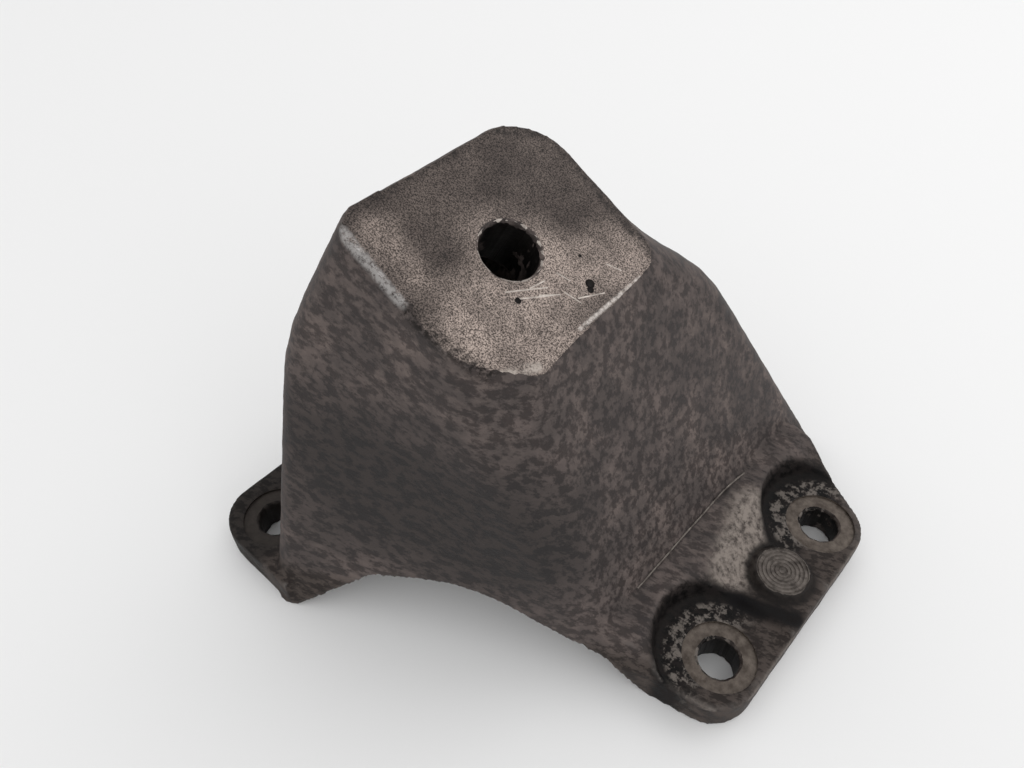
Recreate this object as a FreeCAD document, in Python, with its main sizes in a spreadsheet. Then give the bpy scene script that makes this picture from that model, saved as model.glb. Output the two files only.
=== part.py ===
import FreeCAD, Part
import math
import os
import re
import Sketcher

# Engine mount bracket: one hollow aluminium casting. A tower with an open bottom, its
# front right corner cut off by a narrow fifth side, stands on two bolt feet, and
# its machined top face tilts towards the right foot. Millimetres, +Z up. The origin lies on the seating plane,
# midway between the two bolt holes of the right foot, and +Y runs along them.

doc = FreeCAD.newDocument("engine_mount_bracket")
sheet = doc.addObject("Spreadsheet::Sheet", "Sizes")

SIZES = [
    # Bolts and their seats, the same on both feet.
    ("bolt_pitch", 52.5),
    ("bolt_hole_dia", 10.5),
    ("bolt_seat_dia", 19.0),
    ("bolt_seat_depth", 0.6),
    ("foot_height", 10.6),
    ("foot_corner_rad", 12.0),
    # Right foot, measured from the middle of its bolt line.
    ("right_foot_reach", 11.5),
    ("right_foot_toe", 42.7),
    ("right_foot_front", 38.2),
    ("right_foot_back", 33.0),
    ("right_foot_heel", 48.6),
    # Sloping web on the right foot and the two pockets cut into it for the bolts.
    ("web_root_height", 20.0),
    ("web_brow_height", 19.2),
    ("web_brow_reach", 17.5),
    ("web_brow_rad", 5.0),
    ("web_tip_height", 12.2),
    ("web_tip_reach", 8.0),
    ("web_tip_rad", 6.0),
    ("web_draft", 20.0),
    ("bolt_pocket_rad", 16.5),
    ("bolt_pocket_draft", 12.0),
    # Left foot, whose bolt line lies parallel to the right one.
    ("bolt_line_spacing", 116.5),
    ("bolt_line_shift", 49.0),
    ("left_foot_reach", 14.5),
    ("left_foot_front", 38.7),
    ("left_foot_back", 33.0),
    # Round boss between the right bolts, with turned rings on its face.
    ("boss_dia", 15.6),
    ("boss_height", 14.4),
    ("boss_shift", 3.4),
    ("boss_chamfer", 0.5),
    ("ring_pitch", 1.3),
    ("ring_width", 0.5),
    ("ring_depth", 0.3),
    # Tower at the seating plane: left and right wall, and where the front and
    # back walls would cross the left wall; skew turns front and back in plan.
    ("base_left", 106.0),
    ("base_right", 18.0),
    ("base_front", 92.2),
    ("base_back", 17.5),
    ("base_skew", 27.6),
    # Tower at its shoulder, where the upper walls begin to lean in.
    ("shoulder_drop", 24.3),
    ("shoulder_left", 105.0),
    ("shoulder_right", 43.5),
    ("shoulder_front", 66.9),
    ("shoulder_back", 7.5),
    ("shoulder_skew", 10.0),
    # Machined top face: bore centre, tilt, and the face's edges from the bore.
    ("bore_left", 66.1),
    ("bore_front", 31.3),
    ("bore_height", 108.3),
    ("face_tilt", 28.2),
    ("face_left", 24.2),
    ("face_right", 19.6),
    ("face_front", 26.2),
    ("face_back", 28.0),
    ("face_flare", 3.2),
    ("face_lean", 1.0),
    ("bore_dia", 13.0),
    ("bore_boss_dia", 30.0),
    ("top_plate", 9.0),
    ("bore_length", 16.0),
    ("bore_chamfer", 0.5),
    # Casting.
    ("wall", 5.5),
    ("core_rad", 4.0),
    ("core_cut", 7.0),
    # Corners of the tower in plan. The front right one is cut off by a narrow
    # fifth side, given by how far it reaches along the front and right walls.
    ("front_left_rad", 5.8),
    ("back_left_rad", 14.0),
    ("base_cut", 3.5),
    ("base_cut_rad", 3.5),
    ("base_back_rad", 3.2),
    ("shoulder_cut", 10.0),
    ("shoulder_cut_rad", 15.0),
    ("shoulder_back_rad", 5.8),
    ("face_cut_front", 8.5),
    ("face_cut_right", 12.0),
    ("face_cut_rad", 3.0),
    # Arch in the front wall, measured along the wall from its left end.
    ("arch_start", 11.5),
    ("arch_left_crown", 35.0),
    ("arch_crown", 62.0),
    ("arch_right_crown", 98.0),
    ("arch_end", 107.0),
    ("arch_left_height", 20.9),
    ("arch_height", 27.9),
    ("arch_right_height", 11.3),
    ("arch_left_rad", 12.0),
    ("arch_crown_rad", 30.0),
    ("arch_right_rad", 5.0),
    ("arch_cut", 16.0),
]

BOSS_RINGS = 5
FIRST_ROUNDING = 0.5
TOUCH = 0.001
ROUGH = 1.0
SHOULDER_HEIGHT = "( bore_height - shoulder_drop )"
SHOULDER_START = 0.84
SHOULDER_END = 0.36
SHOULDER_STEPS = 3


def fill_sheet():
    for row, (alias, value) in enumerate(SIZES, start=1):
        sheet.set("A%d" % row, alias)
        sheet.set("B%d" % row, str(value))
        sheet.setAlias("B%d" % row, alias)
    doc.recompute()


def size(alias):
    return float(sheet.get(alias))


def named(formula):
    """Turn a short formula into one that reads its names from the sheet."""
    aliases = dict(SIZES)
    return re.sub(r"[a-z_]+", lambda word: ("Sizes." if word[0] in aliases else "") + word[0], formula)


def origin_plane(body, role):
    return next(part for part in body.Origin.OriginFeatures if part.Role == role)


def new_sketch(body, name, role, offset=None):
    """Lay a sketch on one of the body's own origin planes."""
    sketch = body.newObject("Sketcher::SketchObject", name)
    sketch.AttachmentSupport = (origin_plane(body, role), [""])
    sketch.MapMode = "FlatFace"
    for field, formula in (offset or {}).items():
        sketch.setExpression("AttachmentOffset." + field, named(formula))
    return sketch


def bind(sketch, constraint, formula):
    index = sketch.addConstraint(constraint)
    sketch.renameConstraint(index, "size%d" % index)
    sketch.setExpression("Constraints.size%d" % index, named(formula))


def place_point(sketch, geometry, end, across, along):
    bind(sketch, Sketcher.Constraint("DistanceX", -1, 1, geometry, end, ROUGH), across)
    bind(sketch, Sketcher.Constraint("DistanceY", -1, 1, geometry, end, ROUGH), along)


def outline(body, name, role, corners, offset=None):
    """Closed outline of straight sides; a corner is (across, along, radius), all formulas."""
    sketch = new_sketch(body, name, role, offset)
    count = len(corners)
    turns = [2 * math.pi * index / count for index in range(count)]
    start = [FreeCAD.Vector(math.cos(turn), math.sin(turn), 0) for turn in turns]
    for index in range(count):
        sketch.addGeometry(Part.LineSegment(start[index], start[(index + 1) % count]), False)
    for index in range(count):
        sketch.addConstraint(Sketcher.Constraint("Coincident", index, 2, (index + 1) % count, 1))
    for index, corner in enumerate(corners):
        place_point(sketch, index, 1, corner[0], corner[1])
    doc.recompute()
    for index, corner in enumerate(corners):
        if len(corner) == 3:
            round_corner(sketch, index, corner[2])
    return sketch


def round_corner(sketch, side, radius):
    """Round the corner where a side starts, keeping the corner point itself in place."""
    arc = sketch.GeometryCount
    sketch.fillet(side, 1, FIRST_ROUNDING, True, True)
    bind(sketch, Sketcher.Constraint("Radius", arc, FIRST_ROUNDING), radius)
    doc.recompute()


def circles(body, name, role, rings, offset=None):
    """Circles given as (across, along, diameter) formulas."""
    sketch = new_sketch(body, name, role, offset)
    for across, along, diameter in rings:
        circle = Part.Circle(FreeCAD.Vector(0, 0, 0), FreeCAD.Vector(0, 0, 1), ROUGH)
        index = sketch.addGeometry(circle, False)
        place_point(sketch, index, 3, across, along)
        bind(sketch, Sketcher.Constraint("Diameter", index, 2 * ROUGH), diameter)
    return sketch


def loft(body, name, kind, sections):
    feature = body.newObject(kind, name)
    feature.Profile = sections[0]
    feature.Sections = sections[1:]
    feature.Ruled = True
    doc.recompute()
    return feature


def grow(body, name, kind, sketch, length, reverse=False, **settings):
    """Pad or pocket a sketch by a length given as a formula."""
    feature = body.newObject(kind, name)
    feature.Profile = sketch
    feature.Reversed = reverse
    for field, value in settings.items():
        if isinstance(value, str) and field != "Type":
            feature.setExpression(field, named(value))
        else:
            setattr(feature, field, value)
    if length:
        feature.setExpression("Length", named(length))
    doc.recompute()
    return feature


def break_edge(body, name, chosen, amount):
    """Chamfer the one edge of the latest shape that the test picks."""
    base = body.Tip
    edges = ["Edge%d" % (index + 1) for index, edge in enumerate(base.Shape.Edges) if chosen(edge)]
    if len(edges) != 1:
        raise RuntimeError("%s found %d edges, not one" % (name, len(edges)))
    feature = body.newObject("PartDesign::Chamfer", name)
    feature.Base = (base, edges)
    feature.setExpression("Size", named(amount))
    doc.recompute()


def is_circle(edge, diameter):
    """A full circle of that diameter."""
    found = isinstance(edge.Curve, Part.Circle) and len(edge.Vertexes) == 1
    return found and abs(2 * edge.Curve.Radius - size(diameter)) < TOUCH


def level_section(part, wall):
    """Tower section at one height: its sides' reach and height, and its corners along Y."""
    left, right, front, back, skew = (part + name for name in ("_left", "_right", "_front", "_back", "_skew"))
    slope = "tan(%s)" % skew
    run = "( %s - %s - %s )" % (left, right, wall)
    lean = "%s / cos(%s)" % (wall, skew)
    height = SHOULDER_HEIGHT if part == "shoulder" else "0"
    near = "0 - %s + %s * %s + %s" % (front, run, slope, lean)
    cut = "core_cut" if wall == "wall" else part + "_cut"
    return {
        "left": ("0 - %s + %s" % (left, wall), height),
        "right": ("0 - %s - %s" % (right, wall), height),
        "flare": "0",
        "lean": "0",
        "cut": cut,
        "corners": [
            "0 - %s + %s * %s + %s" % (front, wall, slope, lean),
            "%s - %s * %s" % (near, cut, slope),
            "%s + %s" % (near, cut),
            "%s + %s * %s - %s" % (back, run, slope, lean),
            "%s + %s * %s - %s" % (back, wall, slope, lean),
        ],
        "radii": ["front_left_rad", part + "_cut_rad", part + "_cut_rad", part + "_back_rad", "back_left_rad"],
    }


def face_section(left, right, front, back, depth, wall):
    """Tower section in the tilted plane of the machined face, or a depth below it."""
    across = "0 - bore_left - %s * sin(face_tilt)" % depth
    up = "bore_height - %s * cos(face_tilt)" % depth
    near = "0 - bore_front - ( %s )" % front
    far = "0 - bore_front + ( %s )" % back
    return {
        "left": (across + " - ( %s ) * cos(face_tilt)" % left, up + " + ( %s ) * sin(face_tilt)" % left),
        "right": (across + " + ( %s ) * cos(face_tilt)" % right, up + " - ( %s ) * sin(face_tilt)" % right),
        "flare": "face_flare",
        "lean": "face_lean",
        "cut": "core_cut" if wall == "wall" else "face_cut_front",
        "corners": [near, near, near + " + " + ("core_cut" if wall == "wall" else "face_cut_right"), far, far],
        "radii": ["front_left_rad", "shoulder_cut_rad", "face_cut_rad", "shoulder_back_rad", "back_left_rad"],
    }


def between(low, high, share):
    """Section a share of the way along the straight lines from one section to another."""
    def mix(first, second):
        if first == second:
            return first
        return "( ( %s ) * %s + ( %s ) * %s )" % (first, 1 - share, second, share)
    section = {part: mix(low[part], high[part]) for part in ("flare", "lean", "cut")}
    for part in ("left", "right"):
        section[part] = tuple(mix(*pair) for pair in zip(low[part], high[part]))
    for part in ("corners", "radii"):
        section[part] = [mix(*pair) for pair in zip(low[part], high[part])]
    return section


def section_sketch(body, name, section):
    """Rounded five-sided section, in a plane that turns about Y only."""
    left_x, left_z = section["left"]
    right_x, right_z = section["right"]
    width = "( %s - ( %s ) )" % (right_x, left_x)
    tilt = "atan(( %s - ( %s ) ) / %s)" % (left_z, right_z, width)
    reach = "0 - %s / cos(%s)" % (width, tilt)
    across = [reach, "0 - " + section["cut"], section["flare"], "0", "%s + %s" % (reach, section["lean"])]
    sketch = outline(body, name, "XY_Plane", list(zip(across, section["corners"], section["radii"])))
    turned = FreeCAD.Rotation(FreeCAD.Vector(0, 1, 0), 1)
    sketch.AttachmentOffset = FreeCAD.Placement(FreeCAD.Vector(0, 0, 0), turned)
    for field, formula in (("Base.x", right_x), ("Base.z", right_z), ("Rotation.Angle", tilt)):
        sketch.setExpression("AttachmentOffset." + field, named(formula))
    return sketch


def tower_loft(body, name, kind, wall, top):
    """Walls from the seating plane to a section at the top, straight but for a soft shoulder."""
    base = level_section("base", wall)
    shoulder = level_section("shoulder", wall)
    bend_start = between(base, shoulder, SHOULDER_START)
    bend_end = between(shoulder, top, SHOULDER_END)
    bend = []
    for step in range(SHOULDER_STEPS + 1):
        share = step / SHOULDER_STEPS
        bend.append(between(between(bend_start, shoulder, share), between(shoulder, bend_end, share), share))
    sections = [base] + bend + [top]
    sketches = []
    for index, section in enumerate(sections):
        if name == "Cavity":
            section["radii"] = ["core_rad"] * len(section["radii"])
        sketches.append(section_sketch(body, "%s_section%d" % (name, index + 1), section))
    return loft(body, name, kind, sketches)


def build_tower(body):
    face = face_section("face_left", "face_right", "face_front", "face_back", "0", "0")
    tower_loft(body, "Tower", "PartDesign::AdditiveLoft", "0", face)


def build_cavity(body):
    """The core leaves the walls, a thick top plate and an open bottom."""
    roof = face_section(
        "face_left - wall", "face_right", "face_front - wall", "face_back - wall / 2", "top_plate", "wall"
    )
    tower_loft(body, "Cavity", "PartDesign::SubtractiveLoft", "wall", roof)


def front_line(reach):
    """How far along Y the tower's front wall meets the seating plane at a reach to the left."""
    return "0 - base_front + ( base_left - ( %s ) ) * tan(base_skew)" % reach


def back_line(reach):
    return "base_back + ( base_left - ( %s ) ) * tan(base_skew)" % reach


WEB_ROOT = "( base_right + ( shoulder_right - base_right ) * web_root_height / %s )" % SHOULDER_HEIGHT


def build_right_foot(body):
    toe = "( base_left - ( base_front - right_foot_toe ) / tan(base_skew) )"
    inner = "( %s + wall )" % WEB_ROOT
    plan = [
        ("0 - " + inner, front_line(inner)),
        ("0 - " + toe, "0 - right_foot_toe"),
        ("right_foot_reach", "0 - right_foot_front", "foot_corner_rad"),
        ("right_foot_reach", "right_foot_back", "foot_corner_rad"),
        ("wall / 2 - base_right", "right_foot_heel"),
        ("0 - " + inner, "right_foot_heel"),
    ]
    slab = outline(body, "RightFootPlan", "XY_Plane", plan)
    grow(body, "RightFoot", "PartDesign::Pad", slab, "foot_height")
    web = outline(body, "WebPlan", "XY_Plane", plan, {"Base.z": "foot_height"})
    grow(body, "Web", "PartDesign::Pad", web, "web_root_height - foot_height", TaperAngle="0 - web_draft")
    above = "2 * web_root_height"
    beyond = "right_foot_reach + foot_height"
    slope = outline(body, "WebSlope", "XZ_Plane", [
        ("0 - " + WEB_ROOT, "web_root_height"),
        ("0 - web_brow_reach", "web_brow_height", "web_brow_rad"),
        ("0 - web_tip_reach", "web_tip_height", "web_tip_rad"),
        (beyond, "web_tip_height"),
        (beyond, above),
        ("0 - " + WEB_ROOT, above),
    ])
    grow(body, "WebTrim", "PartDesign::Pocket", slope, None, Type=1, Midplane=True)


def build_left_foot(body):
    edge = "0 - bolt_line_spacing - left_foot_reach"
    front = "0 - bolt_line_shift - left_foot_front"
    back = "left_foot_back - bolt_line_shift"
    toe = "( base_left - ( base_front - bolt_line_shift - left_foot_front ) / tan(base_skew) )"
    slab = outline(body, "LeftFootPlan", "XY_Plane", [
        (edge, front, "foot_corner_rad"),
        ("0 - " + toe, front),
        ("0 - " + toe, back_line(toe)),
        ("0 - base_left", "base_back"),
        (edge, back, "foot_corner_rad"),
    ])
    grow(body, "LeftFoot", "PartDesign::Pad", slab, "foot_height")


def bolt_slot(body, name, sign):
    """Round-ended slot over a right-hand bolt, open towards the outer edge."""
    sketch = new_sketch(body, name, "XY_Plane", {"Base.z": "foot_height"})
    arc = Part.Circle(FreeCAD.Vector(0, sign * 2 * ROUGH, 0), FreeCAD.Vector(0, 0, 1), ROUGH)
    sketch.addGeometry(Part.ArcOfCircle(arc, math.pi / 2, 3 * math.pi / 2), False)
    corners = [(0, 3), (3, 3), (3, 1), (0, 1)] if sign > 0 else [(0, -1), (3, -1), (3, -3), (0, -3)]
    points = [FreeCAD.Vector(x, y, 0) * ROUGH for x, y in corners]
    for index in range(3):
        sketch.addGeometry(Part.LineSegment(points[index], points[index + 1]), False)
    for first, first_end, second, second_end in ((0, 1, 1, 1), (1, 2, 2, 1), (2, 2, 3, 1), (3, 2, 0, 2)):
        sketch.addConstraint(Sketcher.Constraint("Coincident", first, first_end, second, second_end))
    sketch.addConstraint(Sketcher.Constraint("Vertical", 0, 1, 0, 3))
    sketch.addConstraint(Sketcher.Constraint("Vertical", 0, 2, 0, 3))
    sketch.addConstraint(Sketcher.Constraint("Horizontal", 1))
    sketch.addConstraint(Sketcher.Constraint("Horizontal", 3))
    sketch.addConstraint(Sketcher.Constraint("Vertical", 2))
    place_point(sketch, 0, 3, "0 * bolt_pitch", "%d * bolt_pitch / 2" % sign)
    bind(sketch, Sketcher.Constraint("Radius", 0, ROUGH), "bolt_pocket_rad")
    beyond = "right_foot_reach + foot_height"
    bind(sketch, Sketcher.Constraint("DistanceX", -1, 1, 1, 2, ROUGH), beyond)
    return sketch


def build_bolt_pockets(body):
    for name, sign in (("FrontBoltSlot", -1), ("BackBoltSlot", 1)):
        slot = bolt_slot(body, name, sign)
        grow(body, name + "Cut", "PartDesign::Pocket", slot, "web_root_height", True,
             TaperAngle="bolt_pocket_draft")


def on_boss_rim(edge):
    return is_circle(edge, "boss_dia") and abs(edge.Curve.Center.z - size("boss_height")) < TOUCH


def build_boss(body):
    post = circles(body, "BossPlan", "XY_Plane", [("0 * boss_dia", "boss_shift", "boss_dia")])
    grow(body, "Boss", "PartDesign::Pad", post, "boss_height")
    break_edge(body, "BossRim", on_boss_rim, "boss_chamfer")


def build_boss_rings(body):
    """Fine turned rings on top of the boss."""
    rings = []
    for ring in range(1, BOSS_RINGS + 1):
        inside = "2 * %d * ring_pitch" % ring
        rings.append(("0 * boss_dia", "boss_shift", inside))
        rings.append(("0 * boss_dia", "boss_shift", inside + " - 2 * ring_width"))
    plan = circles(body, "BossRings", "XY_Plane", rings, {"Base.z": "boss_height"})
    grow(body, "BossRingCut", "PartDesign::Pocket", plan, "ring_depth")


def build_bolt_holes(body):
    """Four holes on two lines, each with a shallow machined seat for its bolt."""
    centres = []
    for across, shift in (("0 * bolt_pitch", "0"), ("0 - bolt_line_spacing", "bolt_line_shift")):
        for sign in (-1, 1):
            centres.append((across, "%d * bolt_pitch / 2 - %s" % (sign, shift)))
    seats = [(x, y, "bolt_seat_dia") for x, y in centres]
    holes = [(x, y, "bolt_hole_dia") for x, y in centres]
    plan = circles(body, "BoltSeats", "XY_Plane", seats, {"Base.z": "foot_height - bolt_seat_depth"})
    grow(body, "BoltSeatCut", "PartDesign::Pocket", plan, "web_root_height", True)
    plan = circles(body, "BoltHoles", "XY_Plane", holes)
    grow(body, "BoltHoleCut", "PartDesign::Pocket", plan, "web_root_height", True)


def on_bore_rim(edge):
    return is_circle(edge, "bore_dia") and abs(edge.Curve.Center.z - size("bore_height")) < TOUCH


def build_bore(body):
    """Thickened seat under the top plate, bored square to the machined face."""
    seat = circles(body, "BoreBossPlan", "XY_Plane", [("0 * bore_dia", "0 * bore_dia", "bore_boss_dia")])
    on_face(seat, "top_plate / 2")
    grow(body, "BoreBoss", "PartDesign::Pad", seat, "bore_length - top_plate / 2", True)
    bore = circles(body, "BorePlan", "XY_Plane", [("0 * bore_dia", "0 * bore_dia", "bore_dia")])
    on_face(bore, "0 * bore_dia")
    grow(body, "Bore", "PartDesign::Pocket", bore, "2 * bore_length")
    break_edge(body, "BoreRim", on_bore_rim, "bore_chamfer")


def build_arch(body):
    """Low opening in the front wall, cut square to the wall's foot."""
    sketch = outline(body, "ArchPlan", "XZ_Plane", [
        ("arch_start", "0 - foot_height"),
        ("arch_start", "0 * wall"),
        ("arch_left_crown", "arch_left_height", "arch_left_rad"),
        ("arch_crown", "arch_height", "arch_crown_rad"),
        ("arch_right_crown", "arch_right_height", "arch_right_rad"),
        ("arch_end", "0 * wall"),
        ("arch_end", "0 - foot_height"),
    ])
    turned = FreeCAD.Rotation(FreeCAD.Vector(0, 1, 0), 1)
    sketch.AttachmentOffset = FreeCAD.Placement(FreeCAD.Vector(0, 0, 0), turned)
    place = {"Base.x": "0 - base_left", "Base.z": "base_front", "Rotation.Angle": "base_skew"}
    for field, formula in place.items():
        sketch.setExpression("AttachmentOffset." + field, named(formula))
    grow(body, "Arch", "PartDesign::Pocket", sketch, "2 * arch_cut", Midplane=True)


def on_face(sketch, depth):
    """Lay a sketch square to the bore, a depth below the machined face."""
    tilt = FreeCAD.Rotation(FreeCAD.Vector(0, 1, 0), 1)
    sketch.AttachmentOffset = FreeCAD.Placement(FreeCAD.Vector(0, 0, 0), tilt)
    place = {
        "Base.x": "0 - bore_left - %s * sin(face_tilt)" % depth,
        "Base.y": "0 - bore_front",
        "Base.z": "bore_height - %s * cos(face_tilt)" % depth,
        "Rotation.Angle": "face_tilt",
    }
    for field, formula in place.items():
        sketch.setExpression("AttachmentOffset." + field, named(formula))


def check_model():
    """Stop before anything is written if a step failed or the casting isn't one sound solid."""
    doc.recompute()
    for step in doc.Objects:
        if "Invalid" in step.State or "Error" in step.State:
            raise RuntimeError("%s failed: %s" % (step.Label, step.State))
        if hasattr(step, "Shape") and step.Shape.isNull():
            raise RuntimeError(step.Label + " has no shape")
    if not mount.Shape.isValid() or len(mount.Shape.Solids) != 1:
        raise RuntimeError("the casting isn't one sound solid")


fill_sheet()
mount = doc.addObject("PartDesign::Body", "mount_bracket")
mount.Label = "mount_bracket"
build_tower(mount)
build_right_foot(mount)
build_left_foot(mount)
build_bolt_pockets(mount)
build_boss(mount)
build_boss_rings(mount)
build_cavity(mount)
build_bore(mount)
build_arch(mount)
build_bolt_holes(mount)
check_model()
os.makedirs("parts", exist_ok=True)
mount.Shape.exportStep("parts/mount_bracket.step")
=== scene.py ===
import math

import bpy
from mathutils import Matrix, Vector


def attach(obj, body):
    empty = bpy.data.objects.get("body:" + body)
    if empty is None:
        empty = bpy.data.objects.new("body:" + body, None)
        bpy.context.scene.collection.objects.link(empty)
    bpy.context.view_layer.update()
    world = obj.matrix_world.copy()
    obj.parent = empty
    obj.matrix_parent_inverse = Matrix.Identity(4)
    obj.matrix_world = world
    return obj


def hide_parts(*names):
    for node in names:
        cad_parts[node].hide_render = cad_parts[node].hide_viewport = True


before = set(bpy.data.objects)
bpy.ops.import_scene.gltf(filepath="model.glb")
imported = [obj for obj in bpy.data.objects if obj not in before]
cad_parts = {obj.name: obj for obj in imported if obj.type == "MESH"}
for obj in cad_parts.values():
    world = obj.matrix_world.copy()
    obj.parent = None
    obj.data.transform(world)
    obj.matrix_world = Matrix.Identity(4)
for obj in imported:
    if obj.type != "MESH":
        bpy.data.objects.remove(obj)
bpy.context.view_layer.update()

# Casting. One sand-cast aluminium piece: hollow tower, arched front wall and two
# bolt feet. The skin is left as cast, slightly wavy, with every edge rounded by
# the mould, so the solid is recast in a fine mesh, softened and given its skin.
MOULD_GRAIN = 0.00078
CAST_TRIANGLES = 150000
CHIP_REACH = 0.004
bpy.ops.object.select_all(action="DESELECT")
casting = bpy.data.objects.new("casting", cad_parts["mount_bracket"].data.copy())
bpy.context.scene.collection.objects.link(casting)
casting.select_set(True)
bpy.context.view_layer.objects.active = casting
bpy.ops.object.mode_set(mode="EDIT")
bpy.ops.mesh.select_all(action="SELECT")
bpy.ops.mesh.remove_doubles(threshold=0.000002)
bpy.ops.object.mode_set(mode="OBJECT")


def finish_with(piece, kind, **settings):
    """Add a modifier to a piece and apply it."""
    bpy.ops.object.select_all(action="DESELECT")
    piece.select_set(True)
    bpy.context.view_layer.objects.active = piece
    modifier = piece.modifiers.new(kind.lower(), kind)
    for field, value in settings.items():
        setattr(modifier, field, value)
    bpy.ops.object.modifier_apply(modifier=modifier.name)


finish_with(casting, "REMESH", mode="VOXEL", voxel_size=MOULD_GRAIN)
finish_with(casting, "SMOOTH", factor=0.5, iterations=3)

FACE_TILT = math.radians(28.2)
BORE = Vector((-0.0661, -0.0313, 0.1083))
FACE_OUT = Vector((math.sin(FACE_TILT), 0, math.cos(FACE_TILT)))
FACE_RIGHT = Vector((math.cos(FACE_TILT), 0, -math.sin(FACE_TILT)))


def on_face(right, back, out=0.0):
    """Spot on the tilted top face, in millimetres from the middle of its bore."""
    return BORE + (FACE_RIGHT * right + Vector((0, 1, 0)) * back + FACE_OUT * out) / 1000


# The top's front left edge has been knocked about, so it is chipped deeper.
RUBBED = (on_face(-20.5, -25.6), on_face(-4, -26.2))
rubbed = casting.vertex_groups.new(name="rubbed")
length = (RUBBED[1] - RUBBED[0]).length
along = (RUBBED[1] - RUBBED[0]) / length
for vertex in casting.data.vertices:
    reach = min(max((vertex.co - RUBBED[0]).dot(along), 0.0), length)
    off = (vertex.co - RUBBED[0] - along * reach).length
    if off < CHIP_REACH:
        rubbed.add([vertex.index], 1 - off / CHIP_REACH, "REPLACE")

for name, scale, depth, strength, middle, where in (
    ("skin_waves", 0.006, 3, 0.00035, 0.5, ""),
    ("sand_grain", 0.0016, 1, 0.00009, 0.5, ""),
    ("chips", 0.0019, 2, 0.0012, 0.62, "rubbed"),
):
    bumps = bpy.data.textures.new(name, "CLOUDS")
    bumps.noise_scale = scale
    bumps.noise_depth = depth
    finish_with(casting, "DISPLACE", texture=bumps, strength=strength, mid_level=middle,
                vertex_group=where)
casting.vertex_groups.clear()
finish_with(casting, "DECIMATE", ratio=min(1.0, CAST_TRIANGLES / (2 * len(casting.data.polygons))))

# Machined surfaces. After casting, the top face, the bore, the four bolt seats and
# holes, the boss and the undersides are cut clean, so each cutter leaves its own
# finish on the faces it makes.
BOLTS = [(0, -0.02625), (0, 0.02625), (-0.1165, -0.07525), (-0.1165, -0.02275)]
HOLE_RADIUS = 0.00525
SEAT_RADIUS = 0.0095
SEAT_DEPTH = 0.0008
SEAT_CLEARANCE = 0.004
FOOT_TOP = 0.0106
UNDER_FEET = -0.01
OVER_FEET = 0.03
BOSS = (0, 0.0034)
BOSS_RADIUS = 0.0079
BOSS_TOP = 0.01425
BOSS_RINGS = 6
RING_PITCH = 0.0011
RING_WIRE = 0.00026
BORE_RADIUS = 0.0065
RIM_INNER = 0.0058
RIM_OUTER = 0.0078
RIM_DEPTH = 0.0018
RIM_SINK = 0.000425
TOP_SKIM = 0.0002
UNDER_SKIM = 0.0001
MILL = 0.08
BED = 0.4

cast_skin = bpy.data.materials.new("cast_skin")
machined_top = bpy.data.materials.new("machined_top")
# The drillings' near-black finish is painted shade inside the bore, the holes and the pits.
drilled_painted_shade = bpy.data.materials.new("drilled_wall_painted_shade")
faced_seat = bpy.data.materials.new("faced_seat")
turned_boss = bpy.data.materials.new("turned_boss")
bare_metal = bpy.data.materials.new("bare_metal")
# The parting ridge's pale finish is a painted highlight.
ridge_painted_highlight = bpy.data.materials.new("ridge_painted_highlight")
casting.data.materials.clear()
casting.data.materials.append(cast_skin)
for polygon in casting.data.polygons:
    polygon.material_index = 0


def cut(cutter, material):
    """Take a cutter's shape out of the casting and leave its material on the new faces."""
    cutter.data.materials.clear()
    cutter.data.materials.append(material)
    finish_with(casting, "BOOLEAN", operation="DIFFERENCE", solver="MANIFOLD", object=cutter,
                material_mode="TRANSFER")
    bpy.data.objects.remove(cutter)


def post(x, y, low, high, radius):
    """Upright round cutter."""
    bpy.ops.object.select_all(action="DESELECT")
    bpy.ops.mesh.primitive_cylinder_add(
        vertices=96, radius=radius, depth=high - low, location=(x, y, (low + high) / 2))
    return bpy.context.active_object


bpy.ops.mesh.primitive_cube_add(
    size=MILL, location=BORE + FACE_OUT * (MILL / 2 - TOP_SKIM), rotation=(0, FACE_TILT, 0))
cut(bpy.context.active_object, machined_top)
bpy.ops.mesh.primitive_cylinder_add(
    vertices=128, radius=BORE_RADIUS, depth=0.05, location=BORE, rotation=(0, FACE_TILT, 0))
cut(bpy.context.active_object, drilled_painted_shade)
bpy.ops.mesh.primitive_cone_add(
    vertices=128, radius1=RIM_INNER, radius2=RIM_OUTER, depth=RIM_DEPTH,
    location=BORE - FACE_OUT * RIM_SINK, rotation=(0, FACE_TILT, 0))
cut(bpy.context.active_object, bare_metal)


def rod(start, end, radius):
    """Thin round bar from one spot to another."""
    bpy.ops.object.select_all(action="DESELECT")
    bpy.ops.mesh.primitive_cylinder_add(
        vertices=8, radius=radius, depth=(end - start).length, location=(start + end) / 2,
        rotation=(end - start).to_track_quat("Z", "Y").to_euler())
    return bpy.context.active_object


# The mould's parting line stands up as a thin ridge along the fold above the web; its pale finish is a
# painted highlight.
RIDGE = ((-0.0255, -0.0300, 0.0203), (-0.0247, 0.0098, 0.0203), (-0.0225, 0.0230, 0.0203))
RIDGE_RADIUS = 0.00028
RIDGE_LAP = 0.0001
ridge = []
for start, end, steps in ((RIDGE[0], RIDGE[1], 8), (RIDGE[1], RIDGE[2], 4)):
    for step in range(steps):
        spot = Vector(start).lerp(Vector(end), step / steps)
        ridge.append(casting.closest_point_on_mesh(spot)[1])
for start, end in zip(ridge, ridge[1:]):
    bead = rod(start, end + (end - start).normalized() * RIDGE_LAP, RIDGE_RADIUS)
    bead.data.materials.append(ridge_painted_highlight)
    finish_with(casting, "BOOLEAN", operation="UNION", solver="MANIFOLD", object=bead,
                material_mode="TRANSFER")
    bpy.data.objects.remove(bead)

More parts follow.
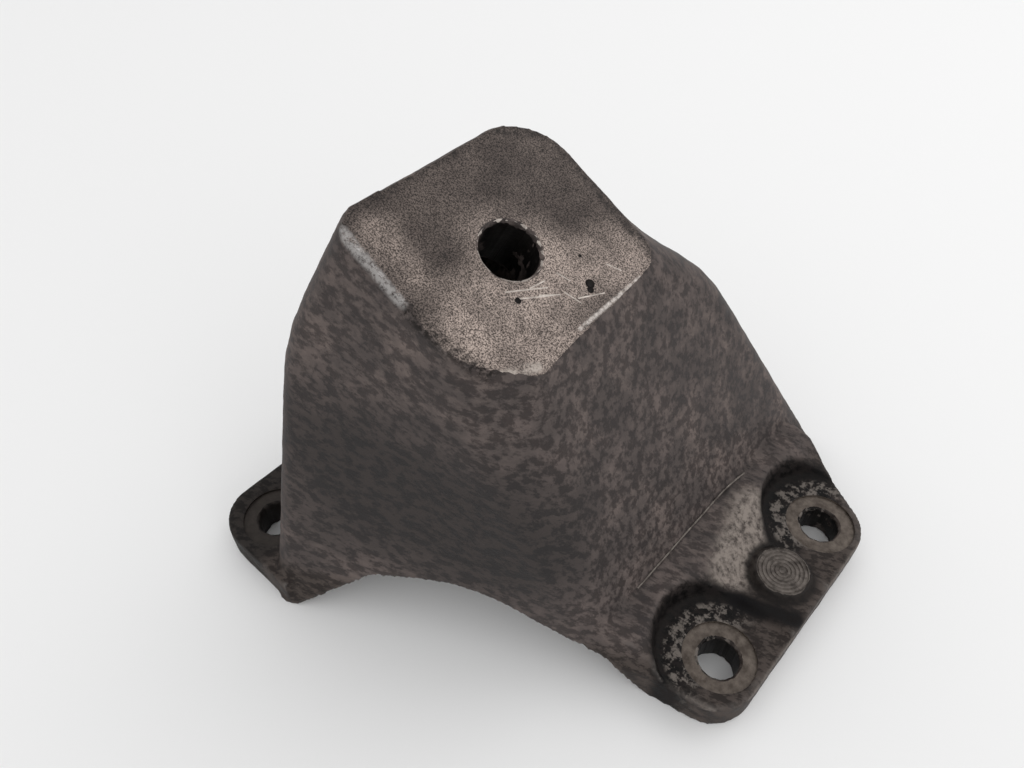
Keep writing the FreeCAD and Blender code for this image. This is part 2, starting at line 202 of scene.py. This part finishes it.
for x, y in BOLTS:
    cut(post(x, y, FOOT_TOP - SEAT_DEPTH, FOOT_TOP + SEAT_CLEARANCE, SEAT_RADIUS), faced_seat)
    cut(post(x, y, UNDER_FEET, OVER_FEET, HOLE_RADIUS), drilled_painted_shade)
cut(post(BOSS[0], BOSS[1], BOSS_TOP, 0.02, BOSS_RADIUS), turned_boss)
for ring in range(1, BOSS_RINGS + 1):
    bpy.ops.object.select_all(action="DESELECT")
    bpy.ops.mesh.primitive_torus_add(
        major_segments=96, minor_segments=8, major_radius=RING_PITCH * ring,
        minor_radius=RING_WIRE, location=(BOSS[0], BOSS[1], BOSS_TOP + 0.00003))
    cut(bpy.context.active_object, turned_boss)
bpy.ops.mesh.primitive_cube_add(size=BED, location=(-0.06, 0, -BED / 2 + UNDER_SKIM))
cut(bpy.context.active_object, faced_seat)

# Scratches and pits in the top face, beside and below the bore. Each scratch is
# shallower towards its far end.
SCRATCH_RADIUS = 0.0003
for start, end in (
    ((6, -7.5), (10.3, 0.8)), ((8.7, -6), (12.2, 0.5)), ((9, 4.7), (12, 6)), ((10.5, -2), (13, 2)),
    ((15.7, 4.6), (18.2, 10.5)), ((13.8, 15.7), (16.9, 17.6)), ((8.3, -2.6), (8.9, 1.4)),
    ((13, 3), (17, 4.5)),
):
    cut(rod(on_face(*start, 0.02), on_face(*end, 0.07), SCRATCH_RADIUS), bare_metal)
# The pits take the drillings' near-black finish, which is painted shade.
for right, back, size in ((8.8, -6.5, 0.9), (14.9, 9.2, 1.3), (15.9, 8.3, 1.0), (9.2, 12.0, 0.6)):
    bpy.ops.object.select_all(action="DESELECT")
    bpy.ops.mesh.primitive_uv_sphere_add(
        segments=16, ring_count=8, radius=size / 1000, location=on_face(right, back, size * 0.4))
    cut(bpy.context.active_object, drilled_painted_shade)

# How far each spot stands out or lies in is kept for the finish, and milled faces
# stay flat.
bpy.ops.object.select_all(action="DESELECT")
casting.select_set(True)
bpy.context.view_layer.objects.active = casting
bpy.ops.paint.vertex_color_dirt(blur_strength=1.0, blur_iterations=2, clean_angle=math.pi, dirt_angle=0.0)
bpy.ops.object.shade_smooth_by_angle(angle=math.radians(38))
flat_cuts = [casting.data.materials.find(material.name) for material in (machined_top, faced_seat)]
for polygon in casting.data.polygons:
    if polygon.material_index in flat_cuts:
        polygon.use_smooth = False
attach(casting, "root")
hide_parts("mount_bracket")

# Finish of the casting. The skin is dark oxidised aluminium, mottled by heat and
# oil; the machined faces are paler and worn, and black grease and painted shade darken the corners.


def add_node(tree, kind, **settings):
    """Add a shader node; inputs are given by name as numbers, colours or sockets."""
    node = tree.nodes.new("ShaderNode" + kind)
    wires = settings.pop("wires", {})
    for field, value in settings.items():
        setattr(node, field, value)
    for socket, value in wires.items():
        target = node.inputs[socket]
        if isinstance(value, bpy.types.NodeSocket):
            tree.links.new(value, target)
        else:
            target.default_value = value
    return node


def new_group(name, takes, gives):
    """Start a shader node group with named inputs and outputs."""
    tree = bpy.data.node_groups.new(name, "ShaderNodeTree")
    for socket, kind, value in takes:
        made = tree.interface.new_socket(socket, in_out="INPUT", socket_type="NodeSocket" + kind)
        if value is not None:
            made.default_value = value
    for socket, kind in gives:
        tree.interface.new_socket(socket, in_out="OUTPUT", socket_type="NodeSocket" + kind)
    return tree, tree.nodes.new("NodeGroupInput").outputs, tree.nodes.new("NodeGroupOutput").inputs


def use_group(tree, group, **wires):
    """Add one of the groups below; an underscore in an input's name stands for a space."""
    node = tree.nodes.new("ShaderNodeGroup")
    node.node_tree = group
    for socket, value in wires.items():
        target = node.inputs[socket.replace("_", " ")]
        if isinstance(value, bpy.types.NodeSocket):
            tree.links.new(value, target)
        else:
            target.default_value = value
    return node.outputs


# Blotches: a hard or soft patchy mask, larger or smaller, covering more or less.
blotches, given, out = new_group(
    "blotches",
    [("Place", "Vector", None), ("Size", "Float", 200.0), ("Cover", "Float", 0.5),
     ("Softness", "Float", 0.05), ("Break Up", "Float", 0.65)],
    [("Mask", "Float")])
noise = add_node(blotches, "TexNoise", wires={
    "Vector": given["Place"], "Scale": given["Size"], "Detail": 6.0, "Roughness": given["Break Up"]})
low = add_node(blotches, "Math", operation="SUBTRACT", wires={0: given["Cover"], 1: given["Softness"]})
high = add_node(blotches, "Math", operation="ADD", wires={0: given["Cover"], 1: given["Softness"]})
ranged = add_node(blotches, "MapRange", wires={
    "Value": noise.outputs["Fac"], "From Min": low.outputs[0], "From Max": high.outputs[0]})
blotches.links.new(ranged.outputs["Result"], out["Mask"])

# Around a bolt: 1 out to a pocket's wall, fading beyond it, and the distance itself.
around_bolt, given, out = new_group(
    "around_bolt",
    [("Place", "Vector", None), ("Bolt", "Vector", None), ("Inner", "Float", 0.0095),
     ("Outer", "Float", 0.0185)],
    [("Mask", "Float"), ("Distance", "Float")])
flat = add_node(around_bolt, "VectorMath", operation="MULTIPLY", wires={0: given["Place"], 1: (1, 1, 0)})
apart = add_node(around_bolt, "VectorMath", operation="DISTANCE", wires={
    0: flat.outputs[0], 1: given["Bolt"]})
fall = add_node(around_bolt, "MapRange", interpolation_type="SMOOTHSTEP", wires={
    "Value": apart.outputs["Value"], "From Min": given["Inner"], "From Max": given["Outer"],
    "To Min": 1.0, "To Max": 0.0})
around_bolt.links.new(fall.outputs[0], out["Mask"])
around_bolt.links.new(apart.outputs["Value"], out["Distance"])

# Beside a line: 1 close to a straight line between two spots, fading out beyond it.
beside_line, given, out = new_group(
    "beside_line",
    [("Place", "Vector", None), ("Start", "Vector", None), ("End", "Vector", None), ("Inner", "Float", 0.001),
     ("Outer", "Float", 0.002)],
    [("Mask", "Float")])
run = add_node(beside_line, "VectorMath", operation="SUBTRACT", wires={0: given["End"], 1: given["Start"]})
here = add_node(beside_line, "VectorMath", operation="SUBTRACT", wires={0: given["Place"], 1: given["Start"]})
whole = add_node(beside_line, "VectorMath", operation="DOT_PRODUCT", wires={
    0: run.outputs[0], 1: run.outputs[0]})
part = add_node(beside_line, "VectorMath", operation="DOT_PRODUCT", wires={
    0: here.outputs[0], 1: run.outputs[0]})
along = add_node(beside_line, "Math", operation="DIVIDE", use_clamp=True, wires={
    0: part.outputs["Value"], 1: whole.outputs["Value"]})
nearest = add_node(beside_line, "VectorMath", operation="SCALE", wires={
    0: run.outputs[0], "Scale": along.outputs[0]})
apart = add_node(beside_line, "VectorMath", operation="DISTANCE", wires={
    0: here.outputs[0], 1: nearest.outputs[0]})
fall = add_node(beside_line, "MapRange", interpolation_type="SMOOTHSTEP", wires={
    "Value": apart.outputs["Value"], "From Min": given["Inner"], "From Max": given["Outer"],
    "To Min": 1.0, "To Max": 0.0})
beside_line.links.new(fall.outputs[0], out["Mask"])

# Worn edges, and corners darkened with dirt and painted shade, read from how each spot of the skin stands
# out.
standing, given, out = new_group(
    "standing", [("Place", "Vector", None)], [("Edge", "Float"), ("Corner", "Float")])
relief = add_node(standing, "Attribute", attribute_name="Color")
ragged = use_group(standing, blotches, Place=given["Place"], Size=450.0, Cover=0.5, Softness=0.2)
edge = add_node(standing, "MapRange", wires={
    "Value": relief.outputs["Fac"], "From Min": 0.5, "From Max": 0.66})
edge = add_node(standing, "Math", operation="MULTIPLY", wires={0: edge.outputs[0], 1: ragged["Mask"]})
corner = add_node(standing, "MapRange", wires={
    "Value": relief.outputs["Fac"], "From Min": 0.37, "From Max": 0.22})
standing.links.new(edge.outputs[0], out["Edge"])
standing.links.new(corner.outputs[0], out["Corner"])


def mixed(tree, first, second, share):
    """Colour between two colours by a mask."""
    node = tree.nodes.new("ShaderNodeMix")
    node.data_type = "RGBA"
    for socket, value in ((0, share), (6, first), (7, second)):
        if isinstance(value, bpy.types.NodeSocket):
            tree.links.new(value, node.inputs[socket])
        else:
            node.inputs[socket].default_value = value
    return node.outputs[2]


def start_material(material):
    """Material's node tree, the place of each spot on the casting, and the surface's inputs."""
    material.use_nodes = True
    tree = material.node_tree
    place = add_node(tree, "TexCoord").outputs["Object"]
    return tree, place, tree.nodes["Principled BSDF"].inputs


def times(tree, first, *others):
    """Product of two or more masks or shares."""
    for other in others:
        first = add_node(tree, "Math", operation="MULTIPLY", wires={0: first, 1: other}).outputs[0]
    return first


def ranged_over(tree, value, low, high, **settings):
    """Share from 0 to 1 as a value goes from low to high."""
    node = add_node(tree, "MapRange", wires={"Value": value, "From Min": low, "From Max": high}, **settings)
    return node.outputs[0]


def patchy(tree, place, size, cover, softness, break_up):
    """Mask of blotches."""
    return use_group(
        tree, blotches, Place=place, Size=size, Cover=cover, Softness=softness, Break_Up=break_up)["Mask"]


def beside(tree, place, start, end, inner, outer):
    """Mask beside a line."""
    return use_group(
        tree, beside_line, Place=place, Start=start, End=end, Inner=inner, Outer=outer)["Mask"]


def bumpy(tree, place, principled, size, strength):
    """Fine grain in a finish's normal."""
    grain = add_node(tree, "TexNoise", wires={
        "Vector": place, "Scale": size, "Detail": 4.0, "Roughness": 0.6})
    bump = add_node(tree, "Bump", wires={
        "Strength": strength, "Distance": 0.0003, "Height": grain.outputs["Fac"]})
    tree.links.new(bump.outputs[0], principled["Normal"])


# The skin: brown flecks over dark metal, drawn out along the front wall, with a smooth, darker grey
# field in that wall's middle that is painted shade under the broad rounded corner above it.
tree, place, skin = start_material(cast_skin)
drawn_out = add_node(tree, "Mapping", vector_type="TEXTURE", wires={
    "Vector": place, "Rotation": (0.0, 0.25, 0.42), "Scale": (2.1, 1.0, 1.25)}).outputs[0]
flecks = patchy(tree, drawn_out, 540.0, 0.5, 0.05, 0.68)
clouds = patchy(tree, place, 42.0, 0.5, 0.16, 0.6)
specks = patchy(tree, place, 1500.0, 0.5, 0.2, 0.6)
broad = patchy(tree, drawn_out, 110.0, 0.55, 0.12, 0.7)
pale = mixed(tree, (0.175, 0.138, 0.124, 1), (0.118, 0.094, 0.088, 1), clouds)
dark = mixed(tree, (0.062, 0.047, 0.043, 1), (0.042, 0.033, 0.031, 1), clouds)
colour = mixed(tree, dark, pale, flecks)
colour = mixed(tree, colour, (0.13, 0.115, 0.105, 1), times(tree, specks, 0.18))
grey = mixed(tree, (0.038, 0.032, 0.031, 1), (0.078, 0.065, 0.061, 1), flecks)
colour = mixed(tree, grey, colour, broad)
# Painted shade: the middle of the front wall, under the broad rounded corner, is darker and greyer.
field = beside(tree, place, (-0.080, -0.068, 0.056), (-0.046, -0.060, 0.050), 0.010, 0.036)
painted_shade_grey = mixed(tree, (0.027, 0.0245, 0.0245, 1), (0.048, 0.041, 0.039, 1), flecks)
colour = mixed(tree, colour, painted_shade_grey, field)

# The feet are browner. The slope behind the boss is painted paler, painted light on a face turned to the
# lamp, and the pockets are black with old grease and painted shade, the grease flaked off in spots beside
# each seat.
across = add_node(tree, "SeparateXYZ", wires={0: place}).outputs
low_down = ranged_over(tree, across["Z"], 0.0190, 0.0125, interpolation_type="SMOOTHSTEP")
foot_brown = mixed(tree, (0.022, 0.017, 0.015, 1), (0.062, 0.050, 0.044, 1), flecks)
colour = mixed(tree, colour, foot_brown, times(tree, low_down, 0.9))
# Painted light: the slope behind the boss, which faces the lamp, is painted paler.
slope_painted_light = beside(tree, place, (-0.011, -0.005, 0.014), (-0.015, 0.012, 0.017), 0.004, 0.0095)
mottle = patchy(tree, place, 520.0, 0.47, 0.10, 0.68)
slope_painted_light_pale = mixed(tree, (0.060, 0.050, 0.045, 1), (0.25, 0.215, 0.19, 1), mottle)
colour = mixed(tree, colour, slope_painted_light_pale, times(tree, slope_painted_light, 0.95))
flaked = patchy(tree, place, 380.0, 0.53, 0.04, 0.7)
inland = ranged_over(tree, across["X"], 0.004, -0.004, interpolation_type="SMOOTHSTEP")
for x, y in BOLTS[:2]:
    pocket = use_group(tree, around_bolt, Place=place, Bolt=(x, y, 0.0), Inner=0.0172, Outer=0.0194)
    band = ranged_over(tree, pocket["Distance"], 0.0152, 0.0135, interpolation_type="SMOOTHSTEP")
    # The pocket walls are near black: old grease together with painted shade in the recess.
    grease_and_shade = mixed(tree, (0.004, 0.0035, 0.0035, 1), (0.014, 0.0115, 0.011, 1), flecks)
    grease_and_shade = mixed(tree, grease_and_shade, (0.16, 0.14, 0.125, 1), times(tree, band, flaked, 0.9))
    colour = mixed(tree, colour, grease_and_shade, times(tree, pocket["Mask"], inland))

# Rubbed edges show brighter, and folds are darkened with dirt and painted shade. The left foot is darkened
# with oil and painted shade, and a ring round the boss's foot and the gutter in front of it are black with
# grease and painted shade.
relief = use_group(tree, standing, Place=place)
# Folds and hollows are darkened: dirt together with painted shade.
colour = mixed(tree, colour, (0.010, 0.008, 0.007, 1), times(tree, relief["Corner"], 0.85))
colour = mixed(tree, colour, (0.16, 0.145, 0.135, 1), times(tree, relief["Edge"], 0.7))
# The left foot is darkened: oil together with painted shade.
oil_and_shade = beside(tree, place, (-0.124, -0.086, 0.006), (-0.124, 0.0, 0.006), 0.014, 0.020)
oil_and_shade_brown = mixed(tree, (0.009, 0.0075, 0.007, 1), (0.027, 0.023, 0.021, 1), flecks)
colour = mixed(tree, colour, oil_and_shade_brown, times(tree, oil_and_shade, 0.95))
# The ring round the boss's foot and the gutter in front of it are black: grease together with painted shade.
boss_ring_shade_and_grease = use_group(
    tree, around_bolt, Place=place, Bolt=(BOSS[0], BOSS[1], 0.0), Inner=0.0086, Outer=0.0105)["Mask"]
colour = mixed(tree, colour, (0.010, 0.0085, 0.008, 1), times(tree, boss_ring_shade_and_grease, 0.8))
gutter_shade_and_grease = beside(tree, place, (-0.004, -0.0105, 0.0115), (0.0095, -0.0055, 0.0115), 0.0012, 0.0040)
colour = mixed(tree, colour, (0.004, 0.0035, 0.004, 1), times(tree, gutter_shade_and_grease, 0.92))

# The rim of the top is grimy in front and scuffed pale at the left, and the right
# foot's outer edges are rubbed.
ragged = patchy(tree, place, 700.0, 0.5, 0.06, 0.75)
grimy = beside(tree, place, on_face(-4, -26.5), on_face(16, -22), 0.0012, 0.0035)
colour = mixed(tree, colour, (0.012, 0.010, 0.009, 1), times(tree, grimy, ragged, 0.9))
scuffed = patchy(tree, place, 1000.0, 0.45, 0.08, 0.8)
worn = beside(tree, place, RUBBED[0], RUBBED[1], 0.0006, 0.0021)
colour = mixed(tree, colour, (0.34, 0.325, 0.315, 1), times(tree, worn, scuffed, 0.9))
for start, end in (
    ((-0.014, -0.0415, 0.0095), (0.006, -0.0385, 0.0095)),
    ((0.0118, -0.030, 0.0100), (0.0118, 0.030, 0.0100)),
):
    rim = beside(tree, place, start, end, 0.0003, 0.0013)
    colour = mixed(tree, colour, (0.22, 0.19, 0.17, 1), times(tree, rim, scuffed, 0.6))
tree.links.new(colour, skin["Base Color"])
skin["Metallic"].default_value = 0.0
skin["Specular IOR Level"].default_value = 0.1
gloss = add_node(tree, "MapRange", wires={"Value": flecks, "To Min": 0.5, "To Max": 0.7})
tree.links.new(gloss.outputs[0], skin["Roughness"])
bumpy(tree, place, skin, 1500.0, 0.35)

# The machined top: sandy bright metal under clouded dark patches, polished in four
# places: the front corner, the bore's rim, the left corner and the right side.
tree, place, top = start_material(machined_top)
patches = patchy(tree, place, 95.0, 0.49, 0.10, 0.66)
sand = patchy(tree, place, 3300.0, 0.5, 0.09, 0.6)
bright = mixed(tree, (0.070, 0.056, 0.049, 1), (0.50, 0.41, 0.36, 1), sand)
dull = mixed(tree, (0.018, 0.015, 0.014, 1), (0.095, 0.076, 0.068, 1), sand)
colour = mixed(tree, dull, mixed(tree, dull, bright, 0.14), patches)
cleaned = add_node(tree, "MapRange", wires={"Value": patches, "To Min": 0.35, "To Max": 0.95}).outputs[0]
for start, end, inner, outer, share in (
    ((8, -16), (17, -4), 0.004, 0.015, 1.0),
    ((0, 0), (0.1, 0.1), 0.0070, 0.0135, 0.45),
    ((-17, -20), (-6, -21), 0.001, 0.007, 0.6),
    ((10, 6), (15, 18), 0.004, 0.012, 0.9),
):
    polished = beside(tree, place, on_face(*start), on_face(*end), inner, outer)
    colour = mixed(tree, colour, bright, times(tree, polished, cleaned, share))

# Its borders: grime along the left, the back and the front, bare metal at the front
# corner, the low right edge and the scuffed left.
ragged = patchy(tree, place, 700.0, 0.5, 0.12, 0.75)
for start, end, inner, outer, border in (
    ((-24, -18), (-23.5, 6), 0.0008, 0.0028, (0.020, 0.017, 0.016, 1)),
    ((-22.5, 18), (-17, 26), 0.0008, 0.0028, (0.020, 0.017, 0.016, 1)),
    ((-12, 27.5), (18, 27.5), 0.0008, 0.0026, (0.024, 0.020, 0.019, 1)),
    ((-4, -27), (16, -23), 0.0006, 0.0022, (0.014, 0.012, 0.011, 1)),
    ((21, -13), (18, -20), 0.0004, 0.0016, (0.42, 0.37, 0.33, 1)),
    ((20.6, 0), (20.4, 20), 0.0002, 0.0007, (0.62, 0.57, 0.53, 1)),
    ((-20.5, -25.6), (-4, -26.2), 0.0006, 0.0018, (0.46, 0.44, 0.43, 1)),
):
    rim = beside(tree, place, on_face(*start), on_face(*end), inner, outer)
    colour = mixed(tree, colour, border, times(tree, rim, ragged))
tree.links.new(colour, top["Base Color"])
top["Metallic"].default_value = 0.3
top["Specular IOR Level"].default_value = 0.15
top["Roughness"].default_value = 0.5
bumpy(tree, place, top, 2600.0, 0.3)

# The seats, boss and drillings are cut smooth, then dulled by oil, most of all on the left foot, which
# painted shade also darkens.
# The drillings are near black, painted shade inside the holes and pits. The parting ridge is painted pale as
# a highlight, and scratches and rim are bare metal.
for material, pale, dark, rough in (
    (faced_seat, (0.135, 0.112, 0.095, 1), (0.058, 0.046, 0.038, 1), 0.5),
    (turned_boss, (0.150, 0.130, 0.116, 1), (0.050, 0.042, 0.037, 1), 0.5),
    (drilled_painted_shade, (0.016, 0.014, 0.013, 1), (0.006, 0.005, 0.005, 1), 0.45),
    (ridge_painted_highlight, (0.21, 0.185, 0.165, 1), (0.075, 0.063, 0.056, 1), 0.5),
    (bare_metal, (0.58, 0.52, 0.47, 1), (0.28, 0.245, 0.22, 1), 0.4),
):
    tree, place, faced = start_material(material)
    stains = patchy(tree, place, 420.0, 0.5, 0.14, 0.66)
    # On the left foot the cut faces are darkened: oil together with painted shade.
    leftward = add_node(tree, "SeparateXYZ", wires={0: place}).outputs["X"]
    oil_and_shade = ranged_over(tree, leftward, -0.105, -0.108)
    colour = mixed(tree, mixed(tree, dark, pale, stains), (0.018, 0.015, 0.0135, 1), times(tree, oil_and_shade, 0.85))
    tree.links.new(colour, faced["Base Color"])
    faced["Metallic"].default_value = 0.3
    faced["Specular IOR Level"].default_value = 0.15
    faced["Roughness"].default_value = rough
    bumpy(tree, place, faced, 1800.0, 0.2)

# Floor. A plain pale sheet of paper under both feet. It is not part of the bracket,
# and it takes the casting's soft shadow.
bpy.ops.object.select_all(action="DESELECT")
bpy.ops.mesh.primitive_plane_add(size=3, location=(0, 0, 0))
floor = bpy.context.active_object
floor.name = "floor"
paper = bpy.data.materials.new("white_paper")
paper.use_nodes = True
paper.node_tree.nodes["Principled BSDF"].inputs["Base Color"].default_value = (0.86, 0.86, 0.86, 1)
paper.node_tree.nodes["Principled BSDF"].inputs["Roughness"].default_value = 0.8
floor.data.materials.append(paper)

# Light. A soft white room gives nearly all of it, with one wide lamp above and
# behind the bracket and a weaker one beside it.
world = bpy.data.worlds.new("studio")
bpy.context.scene.world = world
world.use_nodes = True
world.node_tree.nodes["Background"].inputs["Color"].default_value = (1, 1, 1, 1)
world.node_tree.nodes["Background"].inputs["Strength"].default_value = 0.94


def softbox(name, place, aim, size, watts):
    """Soft square lamp, aimed at a spot."""
    light = bpy.data.lights.new(name, "AREA")
    light.size = size
    light.energy = watts
    lamp = bpy.data.objects.new(name, light)
    bpy.context.scene.collection.objects.link(lamp)
    lamp.location = place
    lamp.rotation_euler = (Vector(aim) - Vector(place)).to_track_quat("-Z", "Y").to_euler()


softbox("overhead", (0.15, 0.55, 0.75), (-0.06, 0, 0.05), 0.5, 1.1)
softbox("side", (0.8, -0.2, 0.5), (-0.06, 0, 0.05), 0.4, 0.5)

# Camera. The bracket is seen from above its right foot, on the arched wall's side,
# through a wide lens.
camera_data = bpy.data.cameras.new("camera")
camera_data.sensor_width = 36
camera_data.lens = 28.83
camera = bpy.data.objects.new("camera", camera_data)
bpy.context.scene.collection.objects.link(camera)
camera.location = (0.01823, -0.12491, 0.211)
camera.rotation_euler = Vector((-0.44275, 0.49299, -0.74896)).to_track_quat("-Z", "Y").to_euler()
bpy.context.scene.camera = camera

bpy.context.scene.view_settings.view_transform = "Standard"
